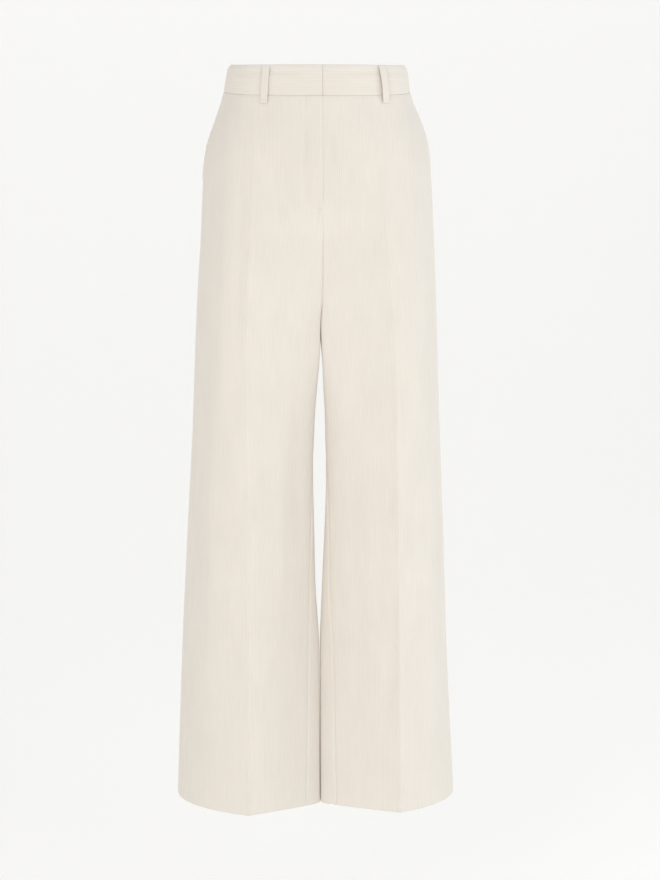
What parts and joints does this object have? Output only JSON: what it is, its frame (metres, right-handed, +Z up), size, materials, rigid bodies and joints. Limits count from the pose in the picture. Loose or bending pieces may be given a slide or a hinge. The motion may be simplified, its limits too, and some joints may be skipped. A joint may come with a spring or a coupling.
{
  "type": "corduroy trousers",
  "caption": "High-waisted wide-leg corduroy trousers, filled out as worn, with a shaped waistband, slanted front pockets and pressed creases down hollow, open legs.",
  "frame": {"origin": "centre of the open waist, level with the waistband's top edge at the sides, where a wearer's waist holds the garment up", "axes": "+Z up out of the waist, -Y towards the front with the fly, +X towards the wearer's left"},
  "size_m": [0.4033, 0.2416, 1.052],
  "materials": {
    "corduroy": "matte cut pile"
  },
  "bodies": {
    "root": {"front_right": "corduroy", "front_left": "corduroy", "back_right": "corduroy", "back_left": "corduroy", "pocket_facing_right": "corduroy", "pocket_facing_left": "corduroy", "waistband_right": "corduroy", "waistband_left": "corduroy", "fly_shield": "corduroy", "belt_loop_front_right": "corduroy", "belt_loop_front_left": "corduroy", "belt_loop_back_right": "corduroy", "belt_loop_back_left": "corduroy", "belt_loop_centre_back": "corduroy"}
  },
  "joints": []
}
